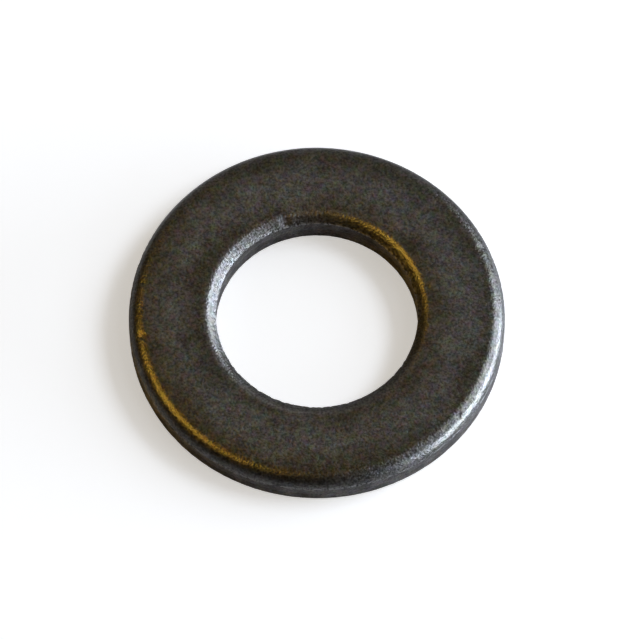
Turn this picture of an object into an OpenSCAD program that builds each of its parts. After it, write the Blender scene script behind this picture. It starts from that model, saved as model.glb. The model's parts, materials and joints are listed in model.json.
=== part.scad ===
// Plain flat washer for a 10 mm bolt, blanked and pierced from steel plate.
// The press draws both upper edges down into a broad rounding that ends in a crisp line on the
// straight wall. Both lower edges are only broken. The washer is one piece: one turned section.
// Frame: +Z along the bolt, origin on the axis of the hole in the plane of the lower face.

/* [Washer] */
// Outer diameter, across the straight outer wall
outer_d = 20; // [18:0.1:24]
// Diameter of the hole, across the straight hole wall
hole_d = 10.7; // [9:0.1:12]
// Thickness between the two bearing faces
thickness = 2; // [1.6:0.05:3]

/* [Upper outer edge] */
// Reach of the rounding inward from the outer wall
rim_round_w = 0.85; // [0.8:0.05:1.4]
// Drop of the rounding below the upper face
rim_round_d = 0.75; // [0.3:0.05:0.8]

/* [Upper hole edge] */
// Reach of the rounding outward from the hole wall
hole_round_w = 0.85; // [0.55:0.05:1.2]
// Drop of the rounding below the upper face
hole_round_d = 0.4; // [0.2:0.05:0.5]

/* [Lower edges] */
// Radius of the broken lower outer edge
rim_break_r = 0.12; // [0.05:0.01:0.2]
// Radius of the broken lower hole edge
hole_break_r = 0.1; // [0.05:0.01:0.2]

/* [Hidden] */
outer_r = outer_d / 2;
hole_r = hole_d / 2;
// Segments of every circle
round_fn = 180;
// Overlap that keeps a cut from ending exactly on a face
cut_over = 0.5;
// Dark oiled steel
steel_colour = [0.27, 0.27, 0.26];

// Radius of the arc that is tangent to the face and drops d over the reach w
function arc_r(w, d) = (w * w + d * d) / (2 * d);

// Waste above a rounding that starts on the face at the origin and falls away towards +X:
// it drops d over the reach w and ends in a crisp line, because its arc stops short of upright
module round_waste(w, d) {
    r = arc_r(w, d);
    difference() {
        translate([0, -d]) square([w + cut_over, d + cut_over]);
        translate([0, -r]) circle(r = r, $fn = round_fn);
    }
}

// Waste outside a quarter round of radius r whose corner is at the origin, pointing +X and -Y
module break_waste(r) {
    difference() {
        translate([-r, -cut_over]) square([r + cut_over, r + cut_over]);
        translate([-r, r]) circle(r = r, $fn = round_fn);
    }
}

// Half section of the washer, with X as the radius and Y as the height
module washer_section() {
    difference() {
        translate([hole_r, 0]) square([outer_r - hole_r, thickness]);
        translate([outer_r - rim_round_w, thickness]) round_waste(rim_round_w, rim_round_d);
        translate([hole_r + hole_round_w, thickness]) mirror([1, 0])
            round_waste(hole_round_w, hole_round_d);
        translate([outer_r, 0]) break_waste(rim_break_r);
        translate([hole_r, 0]) mirror([1, 0]) break_waste(hole_break_r);
    }
}

// The washer: a flat ring with a straight outer wall and a straight hole wall
module washer() {
    color(steel_colour) rotate_extrude($fn = round_fn) washer_section();
}

washer();
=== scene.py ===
"""Looks of a plain steel flat washer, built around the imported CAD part.

The washer is blanked and pierced from rolled plate. The press draws both upper edges down, shears
the walls and leaves both lower edges nearly sharp. Metres, +Z up, origin on the axis of the hole in
the plane of the lower face.
"""

import json
import math
from collections import namedtuple

import bmesh
import bpy
from mathutils import Matrix, Vector, noise


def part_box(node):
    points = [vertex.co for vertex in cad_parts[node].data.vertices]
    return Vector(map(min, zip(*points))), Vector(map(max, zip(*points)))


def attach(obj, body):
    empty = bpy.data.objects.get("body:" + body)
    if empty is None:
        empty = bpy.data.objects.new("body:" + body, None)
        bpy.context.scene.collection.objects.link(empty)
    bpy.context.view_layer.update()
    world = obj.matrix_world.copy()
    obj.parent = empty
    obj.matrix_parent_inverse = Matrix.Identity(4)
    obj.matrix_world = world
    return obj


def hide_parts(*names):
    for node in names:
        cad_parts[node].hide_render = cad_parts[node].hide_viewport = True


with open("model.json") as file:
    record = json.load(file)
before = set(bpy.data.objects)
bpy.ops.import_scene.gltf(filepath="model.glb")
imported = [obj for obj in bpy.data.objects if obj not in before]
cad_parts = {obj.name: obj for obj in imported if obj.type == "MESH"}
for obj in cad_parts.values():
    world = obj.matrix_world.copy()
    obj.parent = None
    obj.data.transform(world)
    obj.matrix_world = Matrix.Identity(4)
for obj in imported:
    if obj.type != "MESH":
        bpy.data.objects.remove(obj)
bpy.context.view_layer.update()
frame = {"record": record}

MM = 0.001

# ---------------------------------------------------------------- driving sizes

# The washer's own sizes, read from the frame.
washer_low, washer_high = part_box("washer")
THICKNESS = washer_high.z - washer_low.z
OUTER_R = (washer_high.x - washer_low.x) / 2
bore = next(mount for mount in frame["record"]["mounts"] if mount["name"] == "bore")
HOLE_R = bore["dims"]["r_mm"] * MM
BORE_LENGTH = bore["dims"]["length_mm"] * MM
BORE_TOP = bore["pos_m"][2] + BORE_LENGTH / 2
BORE_BOTTOM = bore["pos_m"][2] - BORE_LENGTH / 2
FACE_MIDDLE_R = (HOLE_R + OUTER_R) / 2

# The drawn-down upper edges: how far each reaches across the face, and how far it drops below it.
HOLE_ROUND_W, HOLE_ROUND_D = 0.82 * MM, THICKNESS - BORE_TOP
RIM_ROUND_W, RIM_ROUND_D = 0.85 * MM, 0.75 * MM

# The hole's rounding turns from the face into a cone between these shares of its reach.
HOLE_EASE = (0.12, 0.85)

# The rim's rounding is the part of a superellipse quarter up to a share of its reach.
RIM_ROUND_POWER, RIM_ROUND_END = 2.5, 0.95
RIM_ROUND_FALL = 1 - math.sqrt(1 - RIM_ROUND_END ** RIM_ROUND_POWER)

# The share by which both drops change round the washer, how quickly they change, and where the
# hole's change is read in the noise, away from the rim's.
ROUND_CHANGE, ROUND_WAVES = 0.05, 1.6
HOLE_NOISE = Vector((0, 0, 5))

# The press leaves the upper face slightly crowned, highest half way between hole and rim: how far
# the crown would fall by either edge.
CROWN_DROP = 0.07 * MM

# The broken lower edges.
RIM_BREAK_R = 0.12 * MM
HOLE_BREAK_R = BORE_BOTTOM

# Steps round the washer, and along each stretch of its section.
SEGMENTS = 720
FACE_STEPS = 32
RIM_ROUND_STEPS = 26
RIM_WALL_STEPS = 14
BREAK_STEPS = 4
UNDERSIDE_STEPS = 12
BORE_WALL_STEPS = 16
HOLE_ROUND_STEPS = 20

# The sheared stretches of the section, and those that start at a crease.
WALL_ZONES = ("rim_wall", "rim_break", "bore_wall", "hole_break")
CREASE_ZONES = ("rim_wall", "hole_round")

# Relief pressed into the surface: how deep, and how large its lumps are.
FACE_WAVE_DEPTH, FACE_WAVE_SIZE = 0.010 * MM, 2.5 * MM
SKIN_PIT_DEPTH, SKIN_PIT_SIZE = 0.006 * MM, 0.26 * MM
DRAG_DEPTH, DRAG_SIZE, DRAG_STRETCH = 0.010 * MM, 0.20 * MM, 12
FRACTURE_DEPTH, FRACTURE_SIZE, FRACTURE_LEAST = 0.030 * MM, 0.30 * MM, 0.3

# Chips along the creases: depth, size, how far they reach, and the noise where they start and are full.
CHIP_DEPTH, CHIP_SIZE, CHIP_REACH = 0.030 * MM, 0.25 * MM, 0.12 * MM
CHIP_START, CHIP_FULL = 0.55, 0.75

# How far down the sheared wall the smooth burnish gives way to the torn fracture, how much that
# changes, in patches of what size, and over what share of the wall the one turns into the other.
BURNISH_SHARE, BURNISH_CHANGE, BURNISH_PATCH = 0.42, 0.15, 0.8 * MM
TEAR_BEFORE, TEAR_AFTER = 0.05, 0.08

# Share of a rounding by which the skin is fully burnished by the press.
DRAWN_SHARE = 0.4

# Nicks from tumbling with other washers: bearing in degrees, radius, width and depth.
NICKS = (
    (108, 5.65 * MM, 0.45 * MM, 0.050 * MM),
    (170, 9.45 * MM, 0.30 * MM, 0.025 * MM),
    (189, 9.40 * MM, 0.35 * MM, 0.035 * MM),
    (100, 9.15 * MM, 0.30 * MM, 0.020 * MM),
    (24, 9.50 * MM, 0.35 * MM, 0.030 * MM),
    (14, 6.05 * MM, 0.30 * MM, 0.025 * MM),
    (243, 7.40 * MM, 0.25 * MM, 0.015 * MM),
    (322, 9.60 * MM, 0.28 * MM, 0.030 * MM),
    (296, 6.90 * MM, 0.22 * MM, 0.012 * MM),
)

# ---------------------------------------------------------------- finish

# Sizes of the grain, the oil's tint, the mottling and the stains.
GRAIN_SIZE, TINT_SIZE = 0.12 * MM, 0.38 * MM
MOTTLE_SIZE, STAIN_SIZE = 0.9 * MM, 3.0 * MM

# The lighter, cooler band painted half way across the face as sheen: its full and its outer half
# width, and how far the stains push its edges about.
SHEEN_FULL, SHEEN_OUTER, SHEEN_STRAY = 0.3 * MM, 1.6 * MM, 3.0 * MM

# A painted highlight on the hole's rounding, lighter on its -X side where the highlight falls: how far
# either side of the middle that fades out, and how far inside the middle of the face the hole's side
# is told from the rim's.
HIGHLIGHT_FADE, HOLE_SIDE = 2.5 * MM, 1 * MM

# The steel's colours: the oiled face and its band of painted sheen, the roundings as drawn and with a
# painted highlight by the hole, the sheared walls, and the worn creases.
OILED = (0.082, 0.080, 0.065, 1)
SHEEN_PAINT = (0.127, 0.134, 0.136, 1)
DRAWN = (0.118, 0.117, 0.112, 1)
HOLE_HIGHLIGHT_PAINT = (0.165, 0.164, 0.158, 1)
SHEARED_DARK = (0.071, 0.066, 0.062, 1)
SHEARED_LIGHT = (0.155, 0.146, 0.139, 1)
WORN = (0.27, 0.27, 0.27, 1)

# How the grain and the mottling scale the colour, from their dark to their light lumps.
GRAIN_SHADES = (0.58, 1.42)
MOTTLE_SHADES = (0.82, 1.18)

# The oil's tint as a colour scale: gain and least value, and how much of it the roundings and the
# walls keep.
TINT_GAIN, TINT_LEAST = (0.9, 0.8, 1.5), (0.55, 0.60, 0.25)
DRAWN_TINT, WALL_TINT = 0.35, 0.5

# The span that noise keeps to, and the narrower spans that leave harder patches.
NOISE_SPAN = (0.3, 0.7)
SHEARED_SPAN = (0.35, 0.65)
WORN_SPAN = (0.42, 0.56)

# Roughness from the dark to the light grain, from the burnish to the torn metal, and where worn.
SKIN_ROUGHNESS = (0.30, 0.38)
WALL_ROUGHNESS = (0.46, 0.58)
WORN_ROUGHNESS = 0.55
GRAIN_BUMP = 0.024 * MM

# ---------------------------------------------------------------- floor, room, lights, camera

FLOOR_HALF = 1.2
FLOOR_WHITE = 0.85

# The floor's gloss in reflections: white, roughness, and how sharply it sets in at low angles.
FLOOR_SHINE, FLOOR_ROUGHNESS, FLOOR_SET_IN = 0.95, 0.15, 2.0

# Light that the floor adds for the camera, which keeps the washer's shadow pale.
FLOOR_GLOW = (0.50, 0.49, 0.47, 1)

# Radiance of the room in its darkest and lightest directions, bearing and height of the lightest,
# and the cosines to it between which the one turns into the other.
ROOM_DARK = (0.004, 0.004, 0.004, 1)
ROOM_LIGHT = (0.115, 0.070, 0.010, 1)
ROOM_LIGHTEST = (50, 50)
ROOM_SPAN = (-0.5, 1.0)

# Soft lights, all at one distance from the washer: name, bearing, height, half width and half height
# in degrees, and radiance. Windows and walls are daylight, and the lamps are warm.
LIGHT_DISTANCE = 0.45
DAYLIGHT = (0.91, 1.0, 1.15)
LAMPLIGHT = (1.0, 0.57, 0.08)
WINDOWS = (
    ("low_window", -5, 6, 30, 6, 18),
    ("corner_window", -45, 18, 9, 9, 2.5),
    ("window", -15, 27, 26, 6, 1),
    ("side_window", 35, 24, 12, 11, 4.5),
    ("high_window", 15, 43, 16, 8, 9),
    ("ceiling", -5, 62, 20, 9, 0.8),
    ("back_wall", 90, 25, 35, 18, 0.25),
    ("ceiling_glow", 90, 60, 10, 9, 0.45),
)
LAMPS = (
    ("lamp_left", 165, 60, 8, 6, 7),
    ("lamp_middle", 180, 48, 8, 6, 7),
    ("lamp_right", 200, 60, 8, 6, 6.5),
)

# The camera in front of the washer: its distance, its height and roll in degrees, the width that
# it sees, and how far to the right of the washer's origin and above it the picture's middle is.
CAMERA_DISTANCE = 0.667
CAMERA_HEIGHT, CAMERA_ROLL = 65.3, 0.57
VIEW_WIDTH = 34.06 * MM
AIM_RIGHT, AIM_UP = 0.170 * MM, 0.405 * MM


# ---------------------------------------------------------------- section

# A point of the section: its stretch, its share of the way along it, radius and height.
SectionPoint = namedtuple("SectionPoint", "zone share r z")


def lumps(place, size, seed):
    """Smooth noise from 0 to 1, in lumps about size across."""
    return 0.5 + 0.5 * noise.noise(place / size + Vector((seed, 2 * seed, 3 * seed)))


def smooth_step(value, low, high):
    """0 below low, 1 above high, and a smooth rise between."""
    share = min(max((value - low) / (high - low), 0), 1)
    return share * share * (3 - 2 * share)


def crown(r):
    """How far the crown has fallen at a radius."""
    return CROWN_DROP * ((r - FACE_MIDDLE_R) / (OUTER_R - FACE_MIDDLE_R)) ** 2


def rim_rounding(depth):
    """(r, z) down the rim's rounding, which turns ever faster from the face to the crease."""
    own = depth - crown(OUTER_R)
    points = []
    for step in range(RIM_ROUND_STEPS + 1):
        reach = math.sin(math.pi / 2 * step / RIM_ROUND_STEPS) * RIM_ROUND_END
        fallen = 1 - math.sqrt(1 - reach ** RIM_ROUND_POWER)
        r = OUTER_R - RIM_ROUND_W * (1 - reach / RIM_ROUND_END)
        points.append((r, THICKNESS - crown(r) - own * fallen / RIM_ROUND_FALL))
    return points


def hole_rounding(depth):
    """(r, z) down the hole's rounding, which eases from the face into a cone that ends at the crease."""
    own = depth - crown(HOLE_R)
    cone = 1 / (1 - sum(HOLE_EASE) / 2)
    points, fallen = [], 0.0
    for step in range(HOLE_ROUND_STEPS + 1):
        r = HOLE_R + HOLE_ROUND_W * (1 - step / HOLE_ROUND_STEPS)
        points.append((r, THICKNESS - crown(r) - own * fallen))
        fallen += cone * smooth_step((step + 0.5) / HOLE_ROUND_STEPS, *HOLE_EASE) / HOLE_ROUND_STEPS
    return points


def crowned_face(start_r, end_r):
    """(r, z) across the upper face, between the two roundings."""
    radii = [start_r + (end_r - start_r) * step / FACE_STEPS for step in range(FACE_STEPS + 1)]
    return [(r, THICKNESS - crown(r)) for r in radii]


def straight(start, end, steps):
    """(r, z) along a straight stretch, both ends included."""
    shares = [step / steps for step in range(steps + 1)]
    return [(start[0] + (end[0] - start[0]) * s, start[1] + (end[1] - start[1]) * s) for s in shares]


def edge_break(edge_r, outward, radius):
    """(r, z) round a broken lower edge, from the wall to the lower face."""
    turns = [math.pi / 2 * step / BREAK_STEPS for step in range(BREAK_STEPS + 1)]
    return [(edge_r - outward * radius * (1 - math.cos(t)), radius * (1 - math.sin(t))) for t in turns]


def section(bearing):
    """The washer's closed section at a bearing, from the inner end of the upper face outwards."""
    around = Vector((math.cos(bearing), math.sin(bearing), 0)) * ROUND_WAVES
    rim_change = 1 + ROUND_CHANGE * noise.noise(around)
    hole_change = 1 + ROUND_CHANGE * noise.noise(around + HOLE_NOISE)
    hole_round = hole_rounding(HOLE_ROUND_D * hole_change)
    rim_round = rim_rounding(RIM_ROUND_D * rim_change)
    rim_break = edge_break(OUTER_R, 1, RIM_BREAK_R)
    hole_break = edge_break(HOLE_R, -1, HOLE_BREAK_R)
    stretches = (
        ("face", crowned_face(hole_round[0][0], rim_round[0][0])),
        ("rim_round", rim_round),
        ("rim_wall", straight(rim_round[-1], rim_break[0], RIM_WALL_STEPS)),
        ("rim_break", rim_break),
        ("underside", straight(rim_break[-1], hole_break[-1], UNDERSIDE_STEPS)),
        ("hole_break", hole_break[::-1]),
        ("bore_wall", straight(hole_break[0], hole_round[-1], BORE_WALL_STEPS)),
        ("hole_round", hole_round[::-1]),
    )
    points = []
    for zone, stretch in stretches:
        last = len(stretch) - 1
        points += [SectionPoint(zone, step / last, r, z) for step, (r, z) in enumerate(stretch[:-1])]
    return points


# ---------------------------------------------------------------- wear and relief


def at_crease(point):
    """Whether a section point is where a rounding meets its wall."""
    return point.share == 0 and point.zone in CREASE_ZONES


def crease_distance(point, creases):
    """How far a section point is from the nearer crease."""
    return min(math.hypot(point.r - crease.r, point.z - crease.z) for crease in creases)


def nearness(distance):
    """1 on a crease, falling to 0 as far away as chips reach."""
    return max(0, 1 - distance / CHIP_REACH)


def drawn(point):
    """0 on the flat faces, 1 on most of a rounding, where the press has burnished the skin."""
    share = {"rim_round": point.share, "hole_round": 1 - point.share}.get(point.zone, 0.0)
    return smooth_step(share, 0.0, DRAWN_SHARE)


def down_wall(point):
    """Share of the way down the sheared wall, from the crease, or None off the wall."""
    if point.zone == "rim_wall":
        return point.share
    if point.zone == "bore_wall":
        return 1 - point.share
    return 1.0 if point.zone in WALL_ZONES else None


def fracture(point, place):
    """0 on the rolled skin and the burnish, 1 on the torn part of the wall."""
    down = down_wall(point)
    if down is None:
        return 0.0
    patch = 2 * lumps(Vector((place.x, place.y, 0)), BURNISH_PATCH, seed=11) - 1
    edge = BURNISH_SHARE + BURNISH_CHANGE * patch
    return smooth_step(down, edge - TEAR_BEFORE, edge + TEAR_AFTER)


def nick_depth(place):
    """Depth of the nicks at a place on the upper side."""
    depth = 0.0
    for bearing, radius, width, deep in NICKS:
        angle = math.radians(bearing)
        off = math.hypot(place.x - radius * math.cos(angle), place.y - radius * math.sin(angle))
        depth += deep * (1 - smooth_step(off, 0, width))
    return depth


def skin_relief(point, place):
    """Depth of the waves, pits and nicks in the rolled skin."""
    depth = FACE_WAVE_DEPTH * lumps(place, FACE_WAVE_SIZE, seed=1)
    depth += SKIN_PIT_DEPTH * lumps(place, SKIN_PIT_SIZE, seed=6)
    if point.zone != "underside":
        depth += nick_depth(place)
    return depth


def wall_relief(place, torn):
    """Depth of the drag lines and the torn metal on a sheared wall."""
    streak = Vector((place.x, place.y, place.z / DRAG_STRETCH))
    rough = FRACTURE_LEAST + (1 - FRACTURE_LEAST) * lumps(place, FRACTURE_SIZE, seed=3)
    return DRAG_DEPTH * lumps(streak, DRAG_SIZE, seed=2) + torn * FRACTURE_DEPTH * rough


def relief(point, place, near, torn):
    """Depth that the surface is pressed in at a place, with chips where it is near a crease."""
    depth = skin_relief(point, place) if down_wall(point) is None else wall_relief(place, torn)
    chip = smooth_step(lumps(place, CHIP_SIZE, seed=4), CHIP_START, CHIP_FULL)
    return depth + CHIP_DEPTH * chip * near


# ---------------------------------------------------------------- mesh


def lay_rings(build):
    """Rings of vertices round the washer, the depth of relief at each vertex, and one section."""
    torn_layer = build.verts.layers.float["torn"]
    worn_layer = build.verts.layers.float["worn"]
    drawn_layer = build.verts.layers.float["drawn"]
    rings, depths = [], []
    for segment in range(SEGMENTS):
        bearing = 2 * math.pi * segment / SEGMENTS
        points = section(bearing)
        creases = [point for point in points if at_crease(point)]
        ring = []
        for point in points:
            place = Vector((point.r * math.cos(bearing), point.r * math.sin(bearing), point.z))
            vert = build.verts.new(place)
            near = nearness(crease_distance(point, creases))
            torn = fracture(point, place)
            vert[torn_layer] = torn
            vert[worn_layer] = near
            vert[drawn_layer] = drawn(point)
            depths.append(relief(point, place, near, torn))
            ring.append(vert)
        rings.append(ring)
    return rings, depths, points


def join_rings(build, rings, points):
    """Faces between neighbouring rings, smooth but for the creases."""
    wall_layer = build.faces.layers.float["wall"]
    for ring, following in zip(rings, rings[1:] + rings[:1]):
        for step, point in enumerate(points):
            ahead = (step + 1) % len(points)
            face = build.faces.new((ring[step], ring[ahead], following[ahead], following[step]))
            face.smooth = True
            face[wall_layer] = float(point.zone in WALL_ZONES)
        for step, point in enumerate(points):
            if at_crease(point):
                build.edges.get((ring[step], following[step])).smooth = False


def turned_mesh(name):
    """The washer as one closed mesh, with its zones as attributes and its relief pressed in."""
    build = bmesh.new()
    build.faces.layers.float.new("wall")
    for layer in ("torn", "worn", "drawn"):
        build.verts.layers.float.new(layer)
    rings, depths, points = lay_rings(build)
    join_rings(build, rings, points)
    bmesh.ops.recalc_face_normals(build, faces=build.faces)
    build.normal_update()
    for vert, depth in zip([vert for ring in rings for vert in ring], depths):
        vert.co -= vert.normal * depth
    mesh = bpy.data.meshes.new(name)
    build.to_mesh(mesh)
    build.free()
    return mesh


# ---------------------------------------------------------------- materials


class Nodes:
    """Short forms for building one node tree."""

    def __init__(self, tree):
        self.tree = tree
        self.tree.nodes.clear()

    def add(self, kind, inputs=None, **settings):
        """A new node; an input is a value or the socket that feeds it."""
        node = self.tree.nodes.new(kind)
        for key, value in settings.items():
            setattr(node, key, value)
        for key, value in (inputs or {}).items():
            if isinstance(value, bpy.types.NodeSocket):
                self.tree.links.new(value, node.inputs[key])
            else:
                node.inputs[key].default_value = value
        return node

    def attribute(self, name):
        """A number stored on the mesh."""
        return self.add("ShaderNodeAttribute", attribute_name=name).outputs["Fac"]

    def noise(self, coords, size, detail=3.0, offset=0.0):
        """A noise texture whose lumps are about size metres across."""
        moved = self.vector("ADD", coords, (offset, offset, offset)).outputs["Vector"]
        return self.add("ShaderNodeTexNoise", {"Vector": moved, "Scale": 1 / size, "Detail": detail})

    def remap(self, value, low, high, to_low=0, to_high=1):
        """A value mapped from one range to another, and held at the ends."""
        limits = {"From Min": low, "From Max": high, "To Min": to_low, "To Max": to_high}
        return self.add("ShaderNodeMapRange", {"Value": value, **limits}).outputs["Result"]

    def math(self, operation, a, b=0.0, c=0.0):
        """A sum on numbers."""
        return self.add("ShaderNodeMath", {0: a, 1: b, 2: c}, operation=operation).outputs[0]

    def vector(self, operation, a, b=(0, 0, 0), c=(0, 0, 0)):
        """A sum on vectors."""
        return self.add("ShaderNodeVectorMath", {0: a, 1: b, 2: c}, operation=operation)

    def mix(self, factor, a, b):
        """Two numbers mixed by a factor."""
        return self.add("ShaderNodeMix", {0: factor, 2: a, 3: b}).outputs[0]

    def blend(self, factor, a, b, blend_type="MIX"):
        """Two colours mixed by a factor."""
        node = self.add("ShaderNodeMix", {0: factor, 6: a, 7: b}, data_type="RGBA", blend_type=blend_type)
        return node.outputs[2]

    def scale(self, colour, by, share=1.0):
        """A colour multiplied by another, or by a number, by a share."""
        return self.blend(share, colour, by, "MULTIPLY")


def grey(value):
    """An opaque grey."""
    return (value, value, value, 1)


def skin_colour(nodes, coords, speck, mottle, hue):
    """Oiled skin, painted sheen half way across the face, lighter roundings, painted highlight by the
    hole.
    """
    stain = nodes.noise(coords, STAIN_SIZE, offset=0.2).outputs["Fac"]
    level = nodes.vector("MULTIPLY", coords, (1, 1, 0)).outputs["Vector"]
    radius = nodes.vector("LENGTH", level).outputs["Value"]
    off_middle = nodes.math("ABSOLUTE", nodes.math("SUBTRACT", radius, FACE_MIDDLE_R))
    stray = nodes.math("SUBTRACT", stain, 0.5)
    broken = nodes.math("MULTIPLY_ADD", stray, SHEEN_STRAY, off_middle)
    # Painted sheen: a lighter, cooler band across the middle of the face.
    sheen_band = nodes.remap(broken, SHEEN_FULL, SHEEN_OUTER, 1, 0)
    face = nodes.blend(sheen_band, OILED, SHEEN_PAINT)

    across = nodes.add("ShaderNodeSeparateXYZ", {0: coords}).outputs["X"]
    by_hole = nodes.remap(radius, FACE_MIDDLE_R - HOLE_SIDE, FACE_MIDDLE_R, 1, 0)
    # Painted highlight: a lighter colour on the -X side of the hole's rounding, where the highlight
    # falls.
    painted_highlight = nodes.math("MULTIPLY", by_hole, nodes.remap(across, -HIGHLIGHT_FADE, HIGHLIGHT_FADE, 1, 0))
    rounding = nodes.blend(painted_highlight, DRAWN, HOLE_HIGHLIGHT_PAINT)

    on_rounding = nodes.attribute("drawn")
    colour = nodes.blend(on_rounding, face, rounding)
    colour = nodes.scale(colour, nodes.remap(mottle, *NOISE_SPAN, *MOTTLE_SHADES))
    colour = nodes.scale(colour, speck)
    return nodes.scale(colour, hue, nodes.remap(on_rounding, 0, 1, 1, DRAWN_TINT))


def wall_colour(nodes, speck, mottle, hue):
    """Sheared metal, in darker and lighter patches."""
    colour = nodes.blend(nodes.remap(mottle, *SHEARED_SPAN), SHEARED_DARK, SHEARED_LIGHT)
    colour = nodes.scale(colour, speck)
    return nodes.scale(colour, hue, WALL_TINT)


def steel_material():
    """Dark oiled steel: rolled skin on the faces and roundings, sheared and torn metal on the walls."""
    material = bpy.data.materials.new("washer_steel")
    material.use_nodes = True
    nodes = Nodes(material.node_tree)
    coords = nodes.add("ShaderNodeTexCoord").outputs["Object"]
    wall = nodes.attribute("wall")
    grain = nodes.noise(coords, GRAIN_SIZE, detail=1.5).outputs["Fac"]
    tint = nodes.noise(coords, TINT_SIZE, offset=0.05).outputs["Color"]
    mottle = nodes.noise(coords, MOTTLE_SIZE, offset=0.1).outputs["Fac"]

    speck = nodes.remap(grain, *NOISE_SPAN, *GRAIN_SHADES)
    hue = nodes.vector("MULTIPLY_ADD", tint, TINT_GAIN, TINT_LEAST).outputs["Vector"]
    skin = skin_colour(nodes, coords, speck, mottle, hue)
    colour = nodes.blend(wall, skin, wall_colour(nodes, speck, mottle, hue))
    worn = nodes.math("MULTIPLY", nodes.attribute("worn"), nodes.remap(grain, *WORN_SPAN))
    colour = nodes.blend(worn, colour, WORN)

    skin_rough = nodes.remap(grain, *NOISE_SPAN, *SKIN_ROUGHNESS)
    wall_rough = nodes.remap(nodes.attribute("torn"), 0, 1, *WALL_ROUGHNESS)
    rough = nodes.mix(worn, nodes.mix(wall, skin_rough, wall_rough), WORN_ROUGHNESS)
    bump = nodes.add("ShaderNodeBump", {"Height": grain, "Distance": GRAIN_BUMP, "Strength": 1.0})
    settings = {"Base Color": colour, "Roughness": rough, "Metallic": 1.0, "Normal": bump.outputs[0]}
    shader = nodes.add("ShaderNodeBsdfPrincipled", settings)
    nodes.add("ShaderNodeOutputMaterial", {"Surface": shader.outputs[0]})
    return material


def floor_material():
    """Pale and matt to the eye. In the metal's reflections it is white paper, glossy at low angles."""
    material = bpy.data.materials.new("floor_pale")
    material.use_nodes = True
    nodes = Nodes(material.node_tree)
    seen = nodes.add("ShaderNodeLightPath").outputs["Is Camera Ray"]
    matt = nodes.add("ShaderNodeBsdfDiffuse", {"Color": grey(FLOOR_WHITE)}).outputs[0]
    glow = nodes.add("ShaderNodeEmission", {"Color": FLOOR_GLOW}).outputs[0]
    pale = nodes.add("ShaderNodeAddShader", {0: matt, 1: glow}).outputs[0]
    shine = {"Color": grey(FLOOR_SHINE), "Roughness": FLOOR_ROUGHNESS}
    gloss = nodes.add("ShaderNodeBsdfGlossy", shine).outputs[0]
    facing = nodes.add("ShaderNodeLayerWeight", {"Blend": 0.5}).outputs["Facing"]
    low_angle = nodes.math("POWER", facing, FLOOR_SET_IN)
    paper = nodes.add("ShaderNodeMixShader", {0: low_angle, 1: matt, 2: gloss}).outputs[0]
    shader = nodes.add("ShaderNodeMixShader", {0: seen, 1: paper, 2: pale})
    nodes.add("ShaderNodeOutputMaterial", {"Surface": shader.outputs[0]})
    return material


# ---------------------------------------------------------------- stage


def direction(bearing, height):
    """Unit vector: bearing anticlockwise from +X, height above the horizon, both in degrees."""
    b, h = math.radians(bearing), math.radians(height)
    return Vector((math.cos(h) * math.cos(b), math.cos(h) * math.sin(b), math.sin(h)))


def linked(name, data):
    """A new object in the scene."""
    made = bpy.data.objects.new(name, data)
    bpy.context.scene.collection.objects.link(made)
    return made


def lay_floor():
    """A plain pale floor, wide enough to fill the view from any side."""
    mesh = bpy.data.meshes.new("floor")
    build = bmesh.new()
    corners = [(x * FLOOR_HALF, y * FLOOR_HALF, 0) for x, y in ((-1, -1), (1, -1), (1, 1), (-1, 1))]
    build.faces.new([build.verts.new(corner) for corner in corners])
    build.to_mesh(mesh)
    build.free()
    mesh.materials.append(floor_material())
    linked("floor", mesh)


def soft_light(name, bearing, height, half_width, half_height, radiance, colour):
    """A rectangular soft light that faces the washer, placed and sized by angles in degrees."""
    light = bpy.data.lights.new(name, "AREA")
    light.shape = "RECTANGLE"
    light.size = 2 * LIGHT_DISTANCE * math.tan(math.radians(half_width))
    light.size_y = 2 * LIGHT_DISTANCE * math.tan(math.radians(half_height))
    light.energy = radiance * math.pi * light.size * light.size_y
    light.color = colour
    holder = linked(name, light)
    towards = direction(bearing, height)
    holder.location = towards * LIGHT_DISTANCE
    holder.rotation_mode = "QUATERNION"
    holder.rotation_quaternion = towards.to_track_quat("Z", "Y")
    holder.visible_camera = False
    return holder


def hang_lights():
    """Cool daylight, and warm lamps that show in the metal but leave the floor white."""
    for window in WINDOWS:
        soft_light(*window, DAYLIGHT)
    for lamp in LAMPS:
        soft_light(*lamp, LAMPLIGHT).visible_diffuse = False


def dim_room():
    """A dim surround, lightest high up behind the washer on its right."""
    world = bpy.data.worlds.new("room")
    bpy.context.scene.world = world
    world.use_nodes = True
    nodes = Nodes(world.node_tree)
    looking = nodes.add("ShaderNodeTexCoord").outputs["Generated"]
    facing = nodes.vector("DOT_PRODUCT", looking, direction(*ROOM_LIGHTEST)).outputs["Value"]
    colour = nodes.blend(nodes.remap(facing, *ROOM_SPAN), ROOM_DARK, ROOM_LIGHT)
    shader = nodes.add("ShaderNodeBackground", {"Color": colour})
    nodes.add("ShaderNodeOutputWorld", {"Surface": shader.outputs[0]})


def set_camera():
    """A long lens from above and in front, turned a little."""
    lens = bpy.data.cameras.new("camera")
    lens.sensor_width = 36.0
    lens.lens = lens.sensor_width * CAMERA_DISTANCE / VIEW_WIDTH
    lens.clip_start, lens.clip_end = 0.01, 10.0
    back = direction(-90, CAMERA_HEIGHT)
    roll = Matrix.Rotation(math.radians(CAMERA_ROLL), 4, "Z")
    turn = back.to_track_quat("Z", "Y").to_matrix().to_4x4() @ roll
    aim = turn.col[0].xyz * AIM_RIGHT + turn.col[1].xyz * AIM_UP
    camera = linked("camera", lens)
    camera.matrix_world = Matrix.Translation(back * CAMERA_DISTANCE + aim) @ turn
    bpy.context.scene.camera = camera


set_camera()
lay_floor()
dim_room()
hang_lights()
bpy.context.scene.view_settings.view_transform = "Standard"

washer = linked("washer_visual", turned_mesh("washer_visual"))
washer.data.materials.append(steel_material())
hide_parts("washer")
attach(washer, "root")
